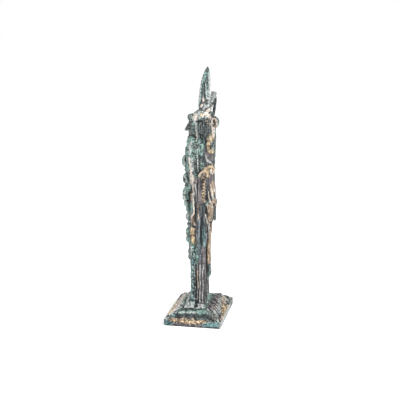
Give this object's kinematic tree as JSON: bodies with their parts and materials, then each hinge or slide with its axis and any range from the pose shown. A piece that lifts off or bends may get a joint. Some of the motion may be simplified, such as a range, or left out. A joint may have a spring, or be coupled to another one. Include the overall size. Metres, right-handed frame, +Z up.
{
  "type": "bronze statuette on a plinth",
  "caption": "Slender cast bronze figure in a draped robe and mantle with a tall leaf-shaped plume, standing on a low bevelled plinth carved with waves",
  "frame": {"origin": "middle of the plinth's underside, on the surface it stands on", "axes": "+Z up to the tip of the plume, the figure faces -Y, its shoulders and the plinth's long side run along X"},
  "size_m": [0.078, 0.056, 0.25],
  "materials": {
    "verdigris_bronze": "cast bronze with a green and brown-black patina, rubbed golden on high places",
    "brown_bronze": "cast bronze with a brown-grey patina, verdigris at the corners and a rubbed golden edge"
  },
  "bodies": {
    "root": {"figure": "verdigris_bronze", "plinth": "brown_bronze"}
  },
  "joints": []
}
